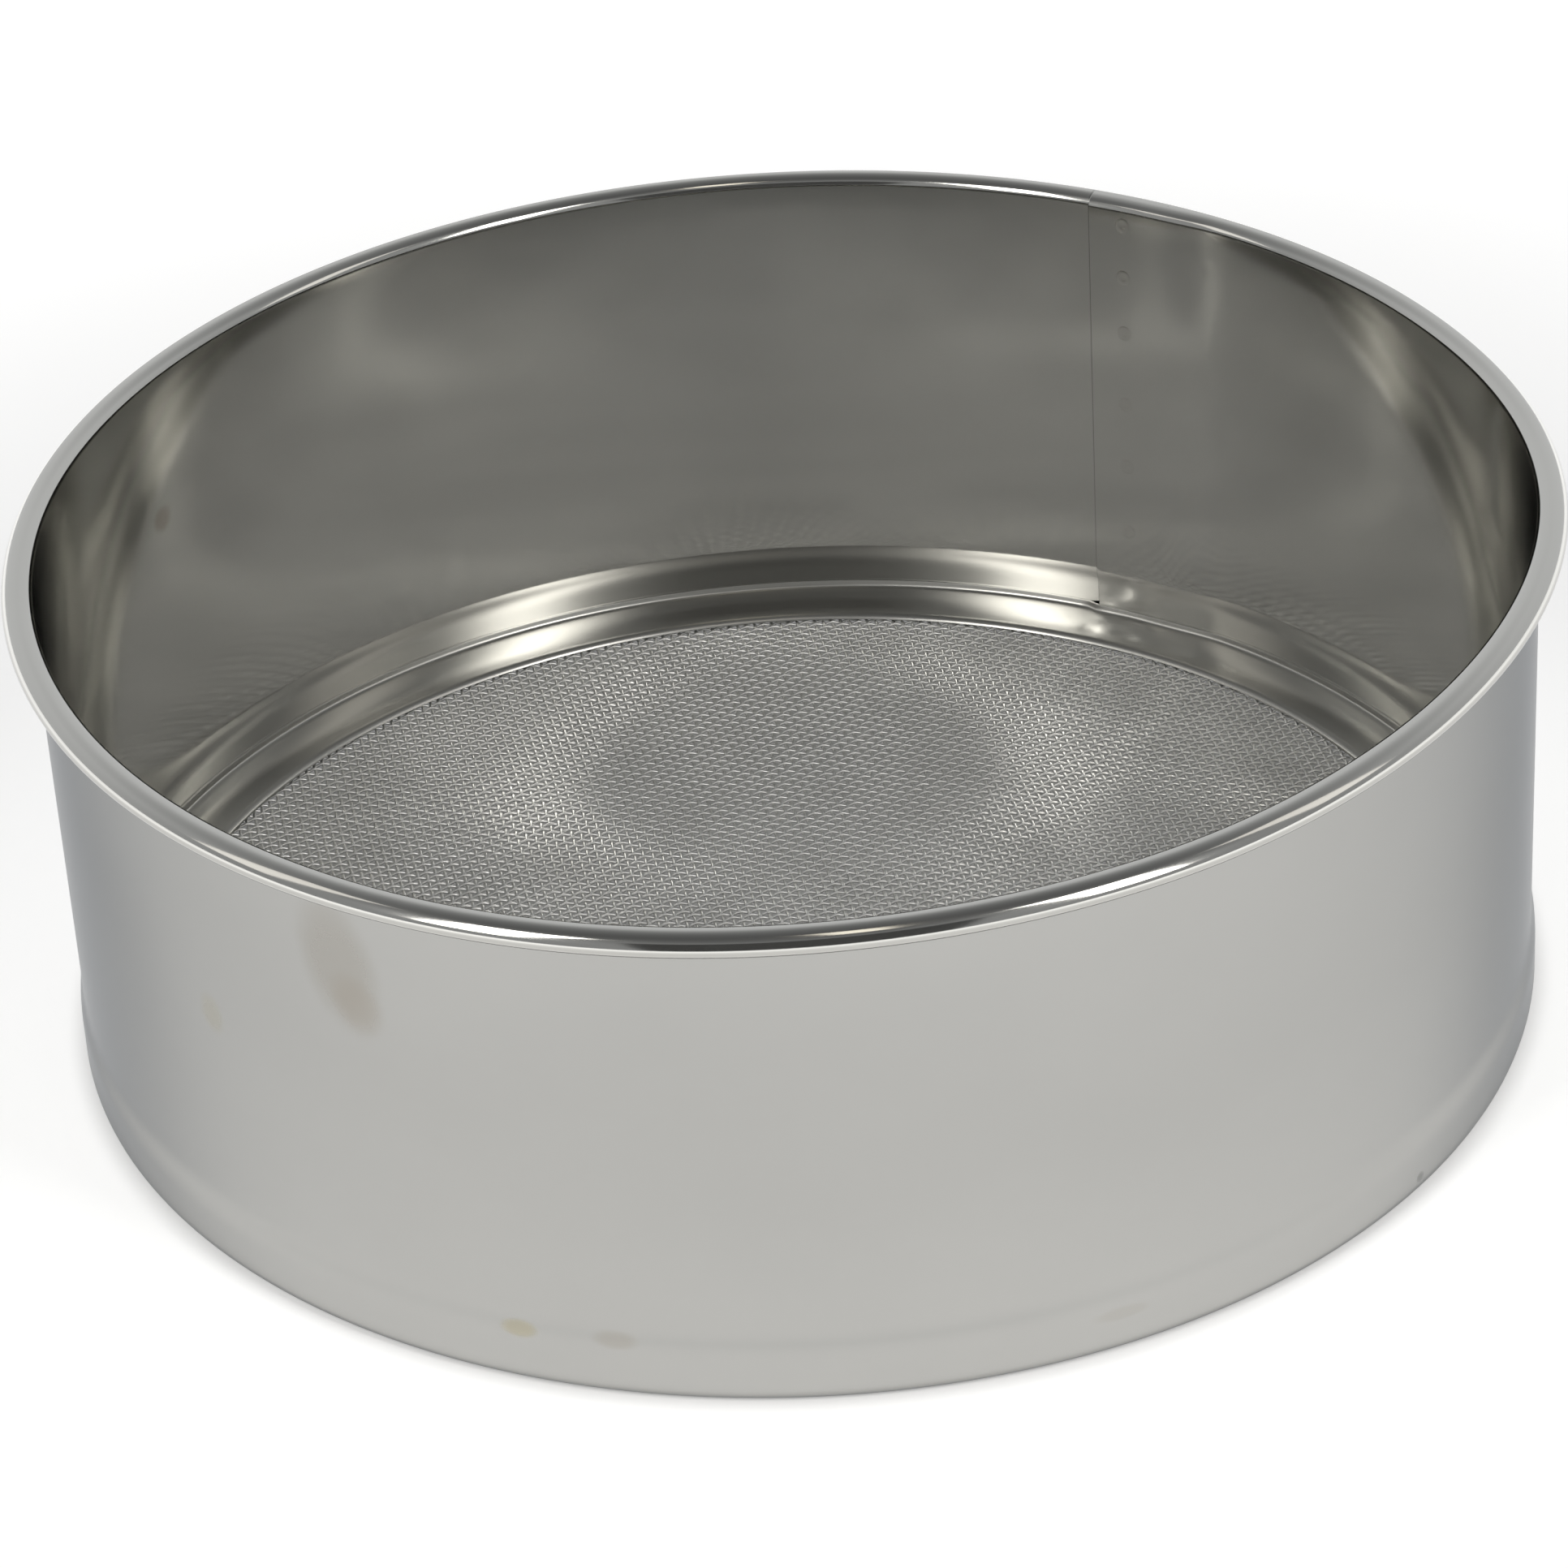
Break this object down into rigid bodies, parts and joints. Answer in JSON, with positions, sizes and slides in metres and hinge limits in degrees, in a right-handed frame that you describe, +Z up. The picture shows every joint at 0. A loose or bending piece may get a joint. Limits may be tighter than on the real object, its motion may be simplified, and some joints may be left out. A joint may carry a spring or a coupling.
{
  "type": "mesh strainer",
  "caption": "Round drum sieve for flour: a straight steel hoop with a rolled rim and a fine wire screen held across its foot by an inner clamp ring.",
  "frame": {"origin": "on the table, at the middle of the foot of the hoop", "axes": "+Z up along the axis of the hoop; the picture looks along +Y, with the lapped seam inside at the back right"},
  "size_m": [0.2, 0.2, 0.07],
  "materials": {
    "hoop_steel": "smooth satin stainless sheet with faint stains and a polished rim",
    "wire_steel": "plain drawn wire, hidden in the rim",
    "screen_steel": "plain woven stainless wire, bright on its crowns",
    "ring_steel": "polished stainless sheet"
  },
  "bodies": {
    "root": {"hoop": "hoop_steel", "rim_wire": "wire_steel", "mesh_screen": "screen_steel", "clamp_ring": "ring_steel"}
  },
  "joints": []
}
